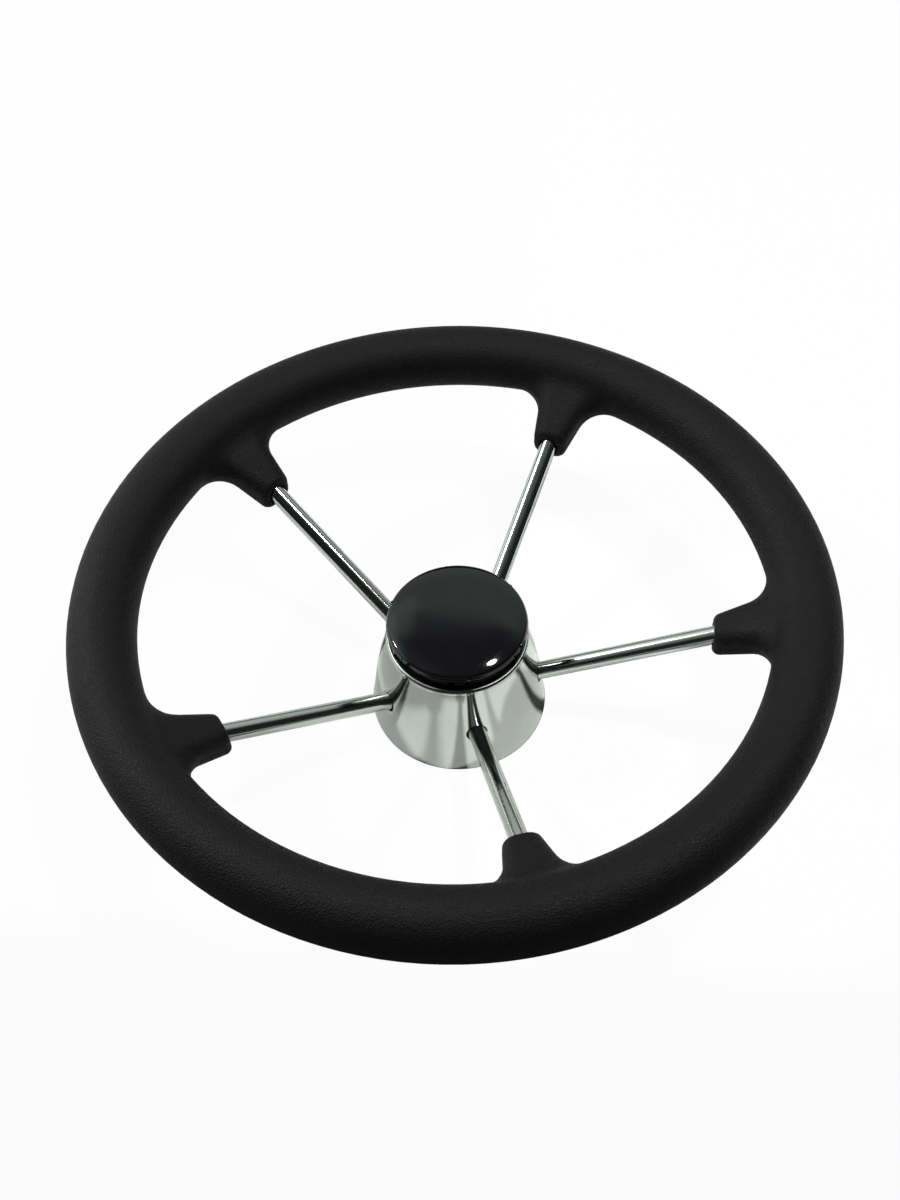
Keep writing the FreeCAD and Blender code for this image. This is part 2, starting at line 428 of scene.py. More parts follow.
@dataclass(frozen=True)
class TurnedSteel(Finish):
    """Steel from the lathe: fine rings round the axis, duller towards the welds."""

    feed_pitch: float = 0.28 * MM
    thread_pitch: float = 0.0
    thread_radius: float = 0.0
    thread_reach: tuple[float, float] = (0.15 * MM, 0.3 * MM)
    thread_weight: float = 12.0
    dull_tone: Colour = (0.47, 0.47, 0.46, 1.0)
    clear_tone: Colour = (0.58, 0.58, 0.57, 1.0)
    # painted shade for the thread's roots
    root_shade_tone: Colour = (0.12, 0.12, 0.12, 1.0)

    def feeds(self, nodes: Nodes) -> dict[str, Feed]:
        """Tool rings on faces and walls, and a thread inside the bore where there is one, its roots painted
        darker as shade.

        Args:
            nodes: The material's tree.

        Returns:
            What the shader's inputs get.
        """
        place = nodes.place()
        across, along, height = nodes.parts(place)
        radius = nodes.from_axis(place)
        path = nodes.add("ShaderNodeCombineXYZ", {}, {0: radius, 1: height, 2: 0.0})
        rings = nodes.noise(nodes.stretched(path, (1.0 / self.feed_pitch,) * 3), 1.0, 2.0, 0.7)
        patch = nodes.noise(place, 140.0, 4.0, 0.6)
        handling = nodes.noise(place, 45.0, 3.0, 0.55).between(0.45, 0.7)
        relief = rings * 0.5
        shade = nodes.mixed(patch, self.dull_tone, self.clear_tone)
        if self.thread_pitch:
            turn = along.maths("ARCTAN2", along, across) / FULL_TURN
            climb = height / self.thread_pitch - turn
            tooth = climb.maths("PINGPONG", climb, 0.5) * 2.0
            near, far = (self.thread_radius + reach for reach in self.thread_reach)
            inside = 1.0 - radius.between(near, far)
            relief = relief * (1.0 - inside) + tooth * inside * self.thread_weight
            # painted shade: the thread's roots are darkened inside the bore
            shade = nodes.mixed(inside * (1.0 - tooth) * 0.75, shade, self.root_shade_tone)
        return {
            "Base Color": shade,
            "Metallic": 1.0,
            "Roughness": rings * 0.10 + patch * 0.08 + handling * 0.06 + 0.17,
            "Normal": nodes.bump(relief, 0.03 * MM),
        }


@dataclass(frozen=True)
class WeldSteel(Finish):
    """A weld bead, dull silver with straw and blue heat colours in it."""

    heat: tuple[tuple[float, Colour], ...] = (
        (0.30, (0.46, 0.45, 0.43, 1.0)),
        (0.48, (0.50, 0.42, 0.27, 1.0)),
        (0.58, (0.34, 0.22, 0.20, 1.0)),
        (0.68, (0.20, 0.24, 0.34, 1.0)),
    )

    def feeds(self, nodes: Nodes) -> dict[str, Feed]:
        """Grainy metal whose tint drifts between straw, brown and blue.

        Args:
            nodes: The material's tree.

        Returns:
            What the shader's inputs get.
        """
        place = nodes.place()
        drift = nodes.noise(place, 160.0, 2.0)
        grain = nodes.noise(place, 1800.0, 3.0, 0.6)
        return {
            "Base Color": nodes.add("ShaderNodeValToRGB", {"stops": self.heat}, {"Fac": drift}),
            "Metallic": 1.0,
            "Roughness": grain * 0.16 + 0.26,
            "Normal": nodes.bump(grain, 0.03 * MM),
        }


@dataclass(frozen=True)
class GlossPlastic(Finish):
    """Gloss black moulded plastic, with faint flow marks and hairline scuffs."""

    roughness: float = 0.035
    deep_tone: Colour = (0.0030, 0.0030, 0.0038, 1.0)
    haze_tone: Colour = (0.0054, 0.0054, 0.0066, 1.0)
    scuff_turn: float = 0.6
    scuff_scale: tuple[float, float, float] = (3200.0, 55.0, 55.0)

    def feeds(self, nodes: Nodes) -> dict[str, Feed]:
        """Deep black with a nearly clean gloss.

        Args:
            nodes: The material's tree.

        Returns:
            What the shader's inputs get.
        """
        place = nodes.place()
        flow = nodes.noise(place, 38.0, 2.0, 0.5)
        haze = nodes.noise(place, 110.0, 4.0, 0.65)
        feeds = {"Vector": place, "Angle": self.scuff_turn}
        turned = nodes.add("ShaderNodeVectorRotate", {"rotation_type": "Z_AXIS"}, feeds)
        hair = nodes.noise(nodes.stretched(turned, self.scuff_scale), 1.0, 2.0, 0.6).between(0.66, 0.72)
        height = flow * 0.9 + hair * 0.01
        return {
            "Base Color": nodes.mixed(haze, self.deep_tone, self.haze_tone),
            "Roughness": self.roughness + haze * 0.03 + hair * 0.08,
            "Specular IOR Level": 0.5,
            "Normal": nodes.bump(height, 0.05 * MM),
        }


# mesh tools


def once_round(count: int) -> list[float]:
    """Evenly spaced angles once round, from 0."""
    return [FULL_TURN * k / count for k in range(count)]


def polar(radius: float, turn: float, height: float = 0.0) -> Vector:
    """The point at a distance from the axis, an angle about it and a height."""
    return Vector((radius * math.cos(turn), radius * math.sin(turn), height))


def heading(azimuth: float, elevation: float) -> Vector:
    """The direction at an azimuth and an elevation in degrees."""
    rise = math.radians(elevation)
    return polar(math.cos(rise), math.radians(azimuth), math.sin(rise))


def ring(middle: Vector, first: Vector, second: Vector, radius: float, count: int) -> list[Vector]:
    """Points on a circle, in the plane of two directions."""
    return [middle + (first * math.cos(t) + second * math.sin(t)) * radius for t in once_round(count)]


@dataclass
class Mesher:
    """Gathers sheets of quads into one mesh and keeps each face's place on the unrolled surface."""

    points: list[Vector] = field(default_factory=list)
    faces: list[tuple[int, ...]] = field(default_factory=list)
    unrolled: list[tuple[tuple[float, float], ...]] = field(default_factory=list)
    slots: list[int] = field(default_factory=list)

    def sheet(self, rows: Sequence[Sequence[Vector]], closed: bool = False, looped: bool = False,
              slot: int = 0, capped: bool = False) -> None:
        """Add a grid of quads.

        Args:
            rows: Points, row by row, all rows equally long.
            closed: Whether each row's end meets its start.
            looped: Whether the last row meets the first.
            slot: The material slot.
            capped: Whether the first and the last row are each filled with one face.
        """
        start = len(self.points)
        count, width = len(rows), len(rows[0])
        for row in rows:
            self.points += row
        along = [0.0]
        for first, second in zip(rows, [*rows[1:], rows[0]]):
            along.append(along[-1] + (second[0] - first[0]).length)
        widest = max(rows, key=lambda row: sum((b - a).length for a, b in zip(row, row[1:])))
        across = [0.0]
        for first, second in zip(widest, [*widest[1:], widest[0]]):
            across.append(across[-1] + (second - first).length)
        for i in range(count if looped else count - 1):
            for j in range(width if closed else width - 1):
                k, n = (i + 1) % count, (j + 1) % width
                corners = ((i, j), (i, n), (k, n), (k, j))
                places = ((i, j), (i, j + 1), (i + 1, j + 1), (i + 1, j))
                self.faces.append(tuple(start + a * width + b for a, b in corners))
                self.unrolled.append(tuple((across[b], along[a]) for a, b in places))
                self.slots.append(slot)
        if capped:
            for row, step in ((0, -1), (count - 1, 1)):
                ends = range(start + row * width, start + (row + 1) * width)[::step]
                self.faces.append(tuple(ends))
                self.unrolled.append(tuple((self.points[p].x, self.points[p].y) for p in ends))
                self.slots.append(slot)

    def lathe(self, outline: Sequence[tuple[float, float]], segments: int, slot: int = 0,
              looped: bool = False) -> None:
        """Turn an outline of (radius, height) points once round the axis."""
        rows = [[polar(radius, t, height) for t in once_round(segments)] for radius, height in outline]
        self.sheet(rows, closed=True, looped=looped, slot=slot)

    def sector(self, outline: Sequence[tuple[float, float]], start: Sequence[float], end: Sequence[float],
               segments: int) -> None:
        """Turn a closed outline through part of a turn and close its ends.

        Args:
            outline: (radius, height) points in a closed loop.
            start: The angle at which each point starts.
            end: The angle at which each point ends.
            segments: How many steps there are between.
        """
        rows = [[polar(radius, first + (last - first) * k / segments, height)
                 for (radius, height), first, last in zip(outline, start, end)]
                for k in range(segments + 1)]
        self.sheet(rows, closed=True, capped=True)

    def mesh(self, name: str, crease: float = CREASE) -> bpy.types.Mesh:
        """The finished mesh.

        Args:
            name: Its name.
            crease: The angle in degrees above which an edge stays sharp.

        Returns:
            A mesh with outward normals and its unrolled surface as texture coordinates.
        """
        mesh = bpy.data.meshes.new(name)
        mesh.from_pydata(self.points, [], self.faces)
        layer = mesh.uv_layers.new(name="unrolled")
        layer.data.foreach_set("uv", [part for places in self.unrolled for place in places for part in place])
        mesh.polygons.foreach_set("material_index", self.slots)
        work = bmesh.new()
        work.from_mesh(mesh)
        bmesh.ops.remove_doubles(work, verts=work.verts, dist=SAME_POINT)
        bmesh.ops.dissolve_degenerate(work, edges=work.edges, dist=NO_LENGTH)
        bmesh.ops.recalc_face_normals(work, faces=work.faces)
        work.to_mesh(mesh)
        work.free()
        smooth(mesh, crease)
        return mesh


def smooth(mesh: bpy.types.Mesh, crease: float = CREASE) -> None:
    """Shade a mesh smooth, with its edges above an angle in degrees kept sharp."""
    mesh.shade_smooth()
    mesh.set_sharp_from_angle(angle=math.radians(crease))


def placed(name: str, data: bpy.types.ID) -> bpy.types.Object:
    """Link a new object that holds a mesh, a lamp or a camera.

    Args:
        name: The object's name.
        data: What it holds.

    Returns:
        The object.
    """
    new = bpy.data.objects.new(name, data)
    bpy.context.scene.collection.objects.link(new)
    return new


def shown(name: str, mesh: bpy.types.Mesh, finishes: Sequence[bpy.types.Material], body: Body,
          slot: Slot, *replaced: str) -> None:
    """Put a finished mesh in the scene.

    Args:
        name: The piece's name.
        mesh: Its mesh.
        finishes: Its materials, in slot order.
        body: The body that carries it.
        slot: The record's slot that its main finish belongs to; not used.
        replaced: The solids that it stands for.
    """
    piece = placed(name, mesh)
    for material in finishes:
        mesh.materials.append(material)
    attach(piece, body.value)
    if replaced:
        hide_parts(*replaced)


def modified(mesh: bpy.types.Mesh, name: str, kind: str, **settings: object) -> bpy.types.Mesh:
    """A mesh as it is after one modifier.

    Args:
        mesh: The mesh to start from.
        name: The new mesh's name.
        kind: The modifier's type.
        settings: The modifier's settings, by name.

    Returns:
        A new mesh with the modifier applied.
    """
    passing = placed(name, mesh)
    change = passing.modifiers.new(kind.lower(), kind)
    for setting, value in settings.items():
        setattr(change, setting, value)
    graph = bpy.context.evaluated_depsgraph_get()
    result = bpy.data.meshes.new_from_object(passing.evaluated_get(graph))
    bpy.data.objects.remove(passing)
    result.name = name
    return result


def arc(centre: tuple[float, float], radius: float, start: float, end: float,
        count: int) -> list[tuple[float, float]]:
    """Points on an arc in the (radius, height) plane, between two angles in degrees."""
    turns = [math.radians(start + (end - start) * k / count) for k in range(count + 1)]
    return [(centre[0] + radius * math.cos(t), centre[1] + radius * math.sin(t)) for t in turns]


def run(start: tuple[float, float], end: tuple[float, float], count: int) -> list[tuple[float, float]]:
    """Evenly spaced points on a straight line, both ends included."""
    shares = [k / count for k in range(count + 1)]
    return [(start[0] + (end[0] - start[0]) * s, start[1] + (end[1] - start[1]) * s) for s in shares]


def eased(share: float) -> float:
    """A share from 0 to 1 that starts and stops gently."""
    share = min(max(share, 0.0), 1.0)
    return share * share * (3 - 2 * share)


# the wheel


@dataclass(frozen=True)
class SpokeLine:
    """The straight line on which the spokes climb from the boss to the ring."""

    count: int = 5
    radius: float = 4.25 * MM
    ring_radius: float = 156.5 * MM
    ring_height: float = 80.3 * MM
    aim_height: float = 2.4 * MM
    boss_radius: float = 19.0 * MM
    root_height: float = 16.62 * MM

    @property
    def climb(self) -> float:
        """How much the line rises for each metre outwards."""
        rise = self.ring_height + self.aim_height - self.root_height
        return rise / (self.ring_radius - self.boss_radius)

    def turn(self, number: int) -> float:
        """The angle of a spoke about the turning axis, with 0 for the first."""
        return FULL_TURN * number / self.count

    def at(self, distance: float, number: int = 0) -> Vector:
        """The point of a spoke's centre line at a distance from the turning axis."""
        height = self.root_height + (distance - self.boss_radius) * self.climb
        return Matrix.Rotation(self.turn(number), 3, "Z") @ Vector((distance, 0.0, height))

    def way(self, number: int = 0) -> Vector:
        """The direction in which a spoke leaves the boss."""
        return (self.at(2.0, number) - self.at(1.0, number)).normalized()

    def off(self, point: Vector, number: int = 0) -> float:
        """How far a point is from a spoke's centre line."""
        out = point - self.at(0.0, number)
        return (out - self.way(number) * out.dot(self.way(number))).length

    def nearest(self, point: Vector) -> int:
        """The number of the spoke on whose side of the wheel a point is."""
        return round(math.atan2(point.y, point.x) / FULL_TURN * self.count) % self.count


@dataclass
class FoamGrip:
    """The moulded foam round the ring, with a cuff on each spoke."""

    line: SpokeLine
    ring_bar: float = 5.0 * MM
    ring_slack: float = 0.4 * MM
    rod_slack: float = 0.15 * MM
    rod_facing: float = 0.35
    voxel: float = 1.15 * MM
    cuff_reach: float = 35.0 * MM
    mouth_cuts: int = 3
    mouth_reach: float = 8.5 * MM
    mouth_width: float = 1.1 * MM
    mouth_depth: float = 1.0 * MM

    def _is_inside(self, face: bmesh.types.BMFace) -> bool:
        """Whether a face of the solid lies against the ring or a spoke.

        Args:
            face: The face.

        Returns:
            True where the foam touches steel.
        """
        centre = face.calc_center_median()
        across = math.hypot(centre.x, centre.y) - self.line.ring_radius
        if math.hypot(across, centre.z - self.line.ring_height) < self.ring_bar + self.ring_slack:
            return True
        number = self.line.nearest(centre)
        near = self.line.off(centre, number) < self.line.radius + self.rod_slack
        return near and abs(face.normal.dot(self.line.way(number))) < self.rod_facing

    def _skin(self, solid: bpy.types.Mesh) -> bpy.types.Mesh:
        """The solid's outer skin, closed where the spokes enter.

        Args:
            solid: The solid's mesh.

        Returns:
            A new mesh without the faces that lie against the steel.
        """
        work = bmesh.new()
        work.from_mesh(solid)
        bmesh.ops.remove_doubles(work, verts=work.verts, dist=SAME_POINT)
        inside = [face for face in work.faces if self._is_inside(face)]
        bmesh.ops.delete(work, geom=inside, context="FACES")
        bmesh.ops.holes_fill(work, edges=[edge for edge in work.edges if edge.is_boundary], sides=0)
        bmesh.ops.triangulate(work, faces=[face for face in work.faces if len(face.verts) > 4])
        skin = bpy.data.meshes.new("foam_skin_source")
        work.to_mesh(skin)
        work.free()
        return skin

    def _at_mouth(self, point: Vector, reach: float) -> bool:
        """Whether a point is on the end of a cuff, within reach of its spoke's centre line."""
        near_end = math.hypot(point.x, point.y) < self.line.ring_radius - self.cuff_reach
        return near_end and self.line.off(point, self.line.nearest(point)) < reach

    def mesh(self, solid: bpy.types.Mesh) -> bpy.types.Mesh:
        """Even small quads on the solid's outer skin, drawn in a little where each spoke enters.

        Args:
            solid: The solid's mesh.

        Returns:
            The finished mesh.
        """
        skin = self._skin(solid)
        surface = BVHTree.FromPolygons([v.co for v in skin.vertices], [p.vertices for p in skin.polygons])
        result = modified(skin, "foam_grip_skin", "REMESH", mode="VOXEL", voxel_size=self.voxel)
        work = bmesh.new()
        work.from_mesh(result)
        mouths = [edge for edge in work.edges
                  if all(self._at_mouth(vert.co, self.mouth_reach) for vert in edge.verts)]
        bmesh.ops.subdivide_edges(work, edges=mouths, cuts=self.mouth_cuts, use_grid_fill=True)
        for vert in work.verts:
            vert.co = surface.find_nearest(vert.co)[0]
            if self._at_mouth(vert.co, self.mouth_reach):
                number = self.line.nearest(vert.co)
                gap = self.line.off(vert.co, number) - self.line.radius
                sink = 1 - eased(gap / self.mouth_width)
                vert.co += self.line.way(number) * sink * self.mouth_depth
        work.to_mesh(result)
        work.free()
        result.shade_smooth()
        return result

    def build(self, solid: bpy.types.Object) -> None:
        """Put the foam in the scene in place of its solid."""
        foam = FoamSkin("foam_skin").material()
        shown("foam_grip_skin", self.mesh(solid.data), [foam], Body.WHEEL, Slot.FOAM, "foam_grip")


@dataclass
class Spokes:
    """The five polished rods and their welds to the boss."""

    line: SpokeLine
    segments: int = 96
    steps: int = 60
    root_overlap: float = 0.4 * MM
    ring_overlap: float = 0.7 * MM
    ring_bar: float = 5.0 * MM
    weld_radius: float = 1.25 * MM
    weld_ripples: int = 34
    ripple_steps: int = 8
    ripple_size: float = 0.10
    sway_size: float = 0.05
    sways: int = 5
    weld_sides: int = 16
    closing_steps: int = 6

    def _frame(self) -> tuple[Vector, Vector]:
        """Two directions across the first spoke."""
        side = Vector((0.0, 1.0, 0.0))
        return side, side.cross(self.line.way()).normalized()

    def rod(self) -> bpy.types.Mesh:
        """The first spoke: a round rod from the boss to the ring.

        Returns:
            Its mesh.
        """
        side, over = self._frame()
        start = self.line.boss_radius - self.root_overlap
        end = self.line.ring_radius - self.ring_bar + self.ring_overlap
        rows = []
        for step in range(self.steps + 1):
            middle = self.line.at(start + (end - start) * step / self.steps)
            rows.append(ring(middle, side, over, self.line.radius, self.segments))
        work = Mesher()
        work.sheet(rows, closed=True, capped=True)
        return work.mesh("spoke_rod")

    def weld(self) -> bpy.types.Mesh:
        """The rippled fillet bead where the first spoke meets the boss.

        Returns:
            Its mesh.
        """
        side, over = self._frame()
        count = self.weld_ripples * self.ripple_steps
        path, outward = [], []
        for turn in once_round(count):
            off = side * math.cos(turn) + over * math.sin(turn)
            distance = self.line.boss_radius
            for _ in range(self.closing_steps):
                point = self.line.at(distance) + off * self.line.radius
                distance += self.line.boss_radius - math.hypot(point.x, point.y)
            path.append(point)
            outward.append(off)
        rows = []
        for k, (point, off) in enumerate(zip(path, outward)):
            ahead = (path[(k + 1) % count] - path[k - 1]).normalized()
            across = ahead.cross(off).normalized()
            ripple = 1 + self.ripple_size * math.cos(FULL_TURN * k / self.ripple_steps)
            ripple += self.sway_size * math.sin(self.sways * FULL_TURN * k / count)
            rows.append(ring(point, off, across, self.weld_radius * ripple, self.weld_sides))
        work = Mesher()
        work.sheet(rows, closed=True, looped=True)
        return work.mesh("spoke_weld", BEAD_CREASE)

    def build(self) -> None:
        """Put the rods and their welds in the scene, turned to their places."""
        steel = PolishedSteel(
            "ground_rod", line_pitch=0.2 * MM, line_length=20.0 * MM, line_depth=0.012 * MM,
            roughness=0.09).material()
        bead = WeldSteel("weld_steel").material()
        for number in range(self.line.count):
            turn = Matrix.Rotation(self.line.turn(number), 4, "Z")
            rod, weld = self.rod(), self.weld()
            rod.transform(turn)
            weld.transform(turn)
            shown(f"spoke_rod_{number + 1}", rod, [steel], Body.WHEEL, Slot.POLISHED, f"spoke_{number + 1}")
            shown(f"spoke_weld_{number + 1}", weld, [bead], Body.WHEEL, Slot.STAINLESS)


@dataclass
class HubShell:
    """The spun shell: a straight flare, a curved shoulder, a rolled lip and five spoke holes."""

    line: SpokeLine
    base_radius: float
    base_round: float = 0.45 * MM
    wall: float = 1.0 * MM
    lip_radius: float = 32.85 * MM
    lip_height: float = 52.3 * MM
    straight_height: float = 18.4 * MM
    shoulder_lean: float = 2.66
    roll_radius: float = 2.0 * MM
    roll_inset: float = 1.325 * MM
    roll_drop: float = 1.43 * MM
    roll_end: float = 60.0
    edge_radius: float = 0.45 * MM
    hole_clearance: float = 0.8 * MM
    hole_drop: float = 0.6 * MM
    hole_sides: int = 72
    cutter_span: tuple[float, float] = (0.6, 1.2)
    shaded_from: float = 1.0 * MM
    shaded_to: float = 50.3 * MM
    shaded_match: float = 0.97
    base_steps: int = 7
    flare_steps: int = 14
    shoulder_steps: int = 26
    roll_steps: int = 20
    edge_steps: int = 16
    segments: int = 288

    def __post_init__(self) -> None:
        """Work out the wall's lean and the shoulder's arc."""
        taper = (self.base_radius - self.lip_radius) / self.lip_height
        self.lean = math.atan(taper) - math.radians(self.shoulder_lean)
        knee = Vector((self.base_radius - self.straight_height * math.tan(self.lean), self.straight_height))
        chord = Vector((self.lip_radius, self.lip_height)) - knee
        normal = Vector((math.cos(self.lean), math.sin(self.lean)))
        self.shoulder = chord.length_squared / (-2 * chord.dot(normal))
        self.centre = knee - normal * self.shoulder
        end = Vector((self.lip_radius, self.lip_height)) - self.centre
        self.lip_lean = math.atan2(end.y, end.x)

    def lean_at(self, height: float) -> float:
        """The angle by which the outer face looks up at a height.

        Args:
            height: The height above the base.

        Returns:
            The angle in radians.
        """
        if height < self.straight_height:
            return self.lean
        return math.asin(min((height - self.centre.y) / self.shoulder, 1.0))

    def inner_radius(self, height: float) -> float:
        """Radius of the inner face at a height on the shoulder."""
        bend = self.shoulder - self.wall
        return self.centre.x + math.sqrt(bend ** 2 - (height - self.centre.y) ** 2)

    def _wall(self, offset: float, start: float) -> list[tuple[float, float]]:
        """The wall from near its base to the lip, moved in by an offset.

        Args:
            offset: How far the points are inside the outer face.
            start: The height of the first point.

        Returns:
            The wall's (radius, height) points.
        """
        foot = self.base_radius - (offset / math.cos(self.lean)) - start * math.tan(self.lean)
        lean, end = math.degrees(self.lean), math.degrees(self.lip_lean)
        curve = arc(tuple(self.centre), self.shoulder - offset, lean, end, self.shoulder_steps)
        return run((foot, start), curve[0], self.flare_steps)[:-1] + curve

    def outline(self) -> tuple[list[tuple[float, float]], ...]:
        """The shell's outline in three stretches of (radius, height) points.

        Returns:
            The outer face up to its rolled top, the lip's edge from there, and the inner face from below.
        """
        bend = self.base_round
        foot = self.base_radius - bend * (1 - math.sin(self.lean)) / math.cos(self.lean)
        base = arc((foot, bend), bend, -90.0, math.degrees(self.lean), self.base_steps)
        middle = Vector((self.lip_radius - self.roll_inset, self.lip_height - self.roll_drop))
        reach = middle - self.centre
        squares = self.shoulder ** 2 + reach.length_squared - self.roll_radius ** 2
        meeting = math.atan2(reach.y, reach.x) - math.acos(squares / (2 * self.shoulder * reach.length))
        seam = self.centre + Vector((math.cos(meeting), math.sin(meeting))) * self.shoulder
        start = math.degrees(math.atan2(seam.y - middle.y, seam.x - middle.x))
        finish = math.radians(self.roll_end)
        edge = middle + Vector((math.cos(finish), math.sin(finish))) * (self.roll_radius - self.edge_radius)
        outer = [point for point in self._wall(0.0, bend * (1 + math.sin(self.lean)))
                 if point[1] < seam.y - HAIR]
        outer += arc(tuple(middle), self.roll_radius, start, self.roll_end, self.roll_steps)[:-1]
        lip = arc(tuple(edge), self.edge_radius, self.roll_end, 180.0, self.edge_steps)
        inner = [point for point in self._wall(self.wall, 0.0) if point[1] < edge.y - HAIR]
        return base[:-1] + outer, lip, inner

    def _cutters(self) -> bpy.types.Object:
        """Five rods that cut the spoke holes.

        Returns:
            One object that holds them.
        """
        work = Mesher()
        radius = self.line.radius + self.hole_clearance
        for number in range(self.line.count):
            turn = Matrix.Rotation(self.line.turn(number), 3, "Z")
            side = turn @ Vector((0.0, 1.0, 0.0))
            over = side.cross(self.line.way(number)).normalized()
            drop = over * math.copysign(self.hole_drop, -over.z)
            rows = [ring(self.line.at(distance, number) + drop, side, over, radius, self.hole_sides)
                    for distance in (self.base_radius * share for share in self.cutter_span)]
            work.sheet(rows, closed=True, capped=True)
        return placed("hole_cutters", work.mesh("hole_cutters"))

    def mesh(self) -> bpy.types.Mesh:
        """The shell with its holes cut, its outer and inner face shaded from the true curve.

        Returns:
            The finished mesh.
        """
        outer, lip, inner = self.outline()
        work = Mesher()
        work.lathe([*outer, lip[0]], self.segments)
        work.lathe(lip, self.segments, slot=2)
        work.lathe([lip[-1], *inner[::-1]], self.segments, slot=1)
        work.lathe([inner[0], outer[0]], self.segments)
        cutters = self._cutters()
        cut = {"operation": "DIFFERENCE", "solver": "EXACT", "object": cutters}
        result = modified(work.mesh("hub_shell_whole"), "hub_shell_spun", "BOOLEAN", **cut)
        bpy.data.objects.remove(cutters)
        smooth(result)
        self._shade_truly(result)
        return result

    def _true_normal(self, point: Vector) -> Vector:
        """The outward normal of the turned curve beside a point of the wall.

        Args:
            point: The point.

        Returns:
            The normal.
        """
        lean = self.lean_at(point.z)
        out = Vector((point.x, point.y, 0.0)).normalized()
        return out * math.cos(lean) + UP * math.sin(lean)

    def _shade_truly(self, mesh: bpy.types.Mesh) -> None:
        """Give the outer and the inner face the normals of the curve they were turned from.

        Args:
            mesh: The shell's mesh.
        """
        normals = [Vector(corner.vector) for corner in mesh.corner_normals]
        for face in mesh.polygons:
            facing = face.normal.dot(self._true_normal(face.center))
            on_wall = self.shaded_from < face.center.z < self.shaded_to
            if not on_wall or abs(facing) < self.shaded_match:
                continue
            for corner in face.loop_indices:
                true = self._true_normal(mesh.vertices[mesh.loops[corner].vertex_index].co)
                normals[corner] = true if facing > 0 else -true
        mesh.normals_split_custom_set(normals)

    def build(self) -> None:
        """Put the shell in the scene in place of its solid."""
        polish = PolishedSteel(
            "polished_shell", line_pitch=0.3 * MM, line_length=90.0 * MM, roughness=0.06,
            ripple=0.03 * MM).material()
        dull = SpunInside("spun_inside").material()
        curl = PolishedSteel(
            "rolled_lip_steel", line_pitch=0.2 * MM, line_length=90.0 * MM, roughness=0.5).material()
        shown("hub_shell_spun", self.mesh(), [polish, dull, curl], Body.WHEEL, Slot.POLISHED, "hub_shell")


@dataclass
class HubCore:
    """What is inside the shell: the web plate, the boss, the shaft nut and their welds."""

    shell: HubShell
    plate_top: float = 40.0 * MM
    plate_thickness: float = 3.0 * MM
    spigot_radius: float = 15.0 * MM
    bead_radius: float = 1.1 * MM
    bead_inset: float = 0.5 * MM
    bead_sides: int = 14
    ripple_steps: int = 6
    ripple_size: float = 0.09
    plate_ripples: int = 130
    spigot_ripples: int = 60

    def _ring_weld(self, name: str, radius: float, height: float, ripples: int) -> bpy.types.Mesh:
        """A rippled bead once round the axis.

        Args:
            name: The mesh's name.
            radius: The bead's distance from the axis.
            height: Its height above the hub's base.
            ripples: How many ripples it has.

        Returns:
            Its mesh.
        """
        rows = []
        for turn in once_round(ripples * self.ripple_steps):
            ripple = 1 + self.ripple_size * math.cos(turn * ripples)
            ripple += 0.05 * math.sin(7 * turn) + 0.04 * math.sin(3 * turn + 1)
            middle = polar(radius, turn, height)
            rows.append(ring(middle, polar(1.0, turn), UP, self.bead_radius * ripple, self.bead_sides))
        work = Mesher()
        work.sheet(rows, closed=True, looped=True)
        return work.mesh(name, BEAD_CREASE)

    def build(self, nodes: dict[str, bpy.types.Object]) -> None:
        """Dress the solids and add the welds.

        Args:
            nodes: The solids, by name.
        """
        finishes = {
            "rim_ring": TurnedSteel("ring_bar_steel"),
            "hub_plate": TurnedSteel("plate_steel", feed_pitch=0.5 * MM),
            "hub_boss": TurnedSteel("boss_steel", feed_pitch=0.35 * MM),
            "shaft_nut": TurnedSteel("nut_steel", thread_pitch=1.41 * MM, thread_radius=7.2 * MM),
        }
        for name, finish in finishes.items():
            material = finish.material()
            for slot in nodes[name].material_slots:
                slot.material = material
        bead = WeldSteel("ring_weld_steel").material()
        under = self.plate_top - self.plate_thickness
        inner = self.shell.inner_radius(under) - self.bead_inset
        for name, radius, height, ripples in (
            ("plate_weld_lower", inner, under, self.plate_ripples),
            ("spigot_weld", self.spigot_radius, self.plate_top, self.spigot_ripples),
        ):
            weld = self._ring_weld(name, radius, height, ripples)
            shown(name, weld, [bead], Body.WHEEL, Slot.STAINLESS)


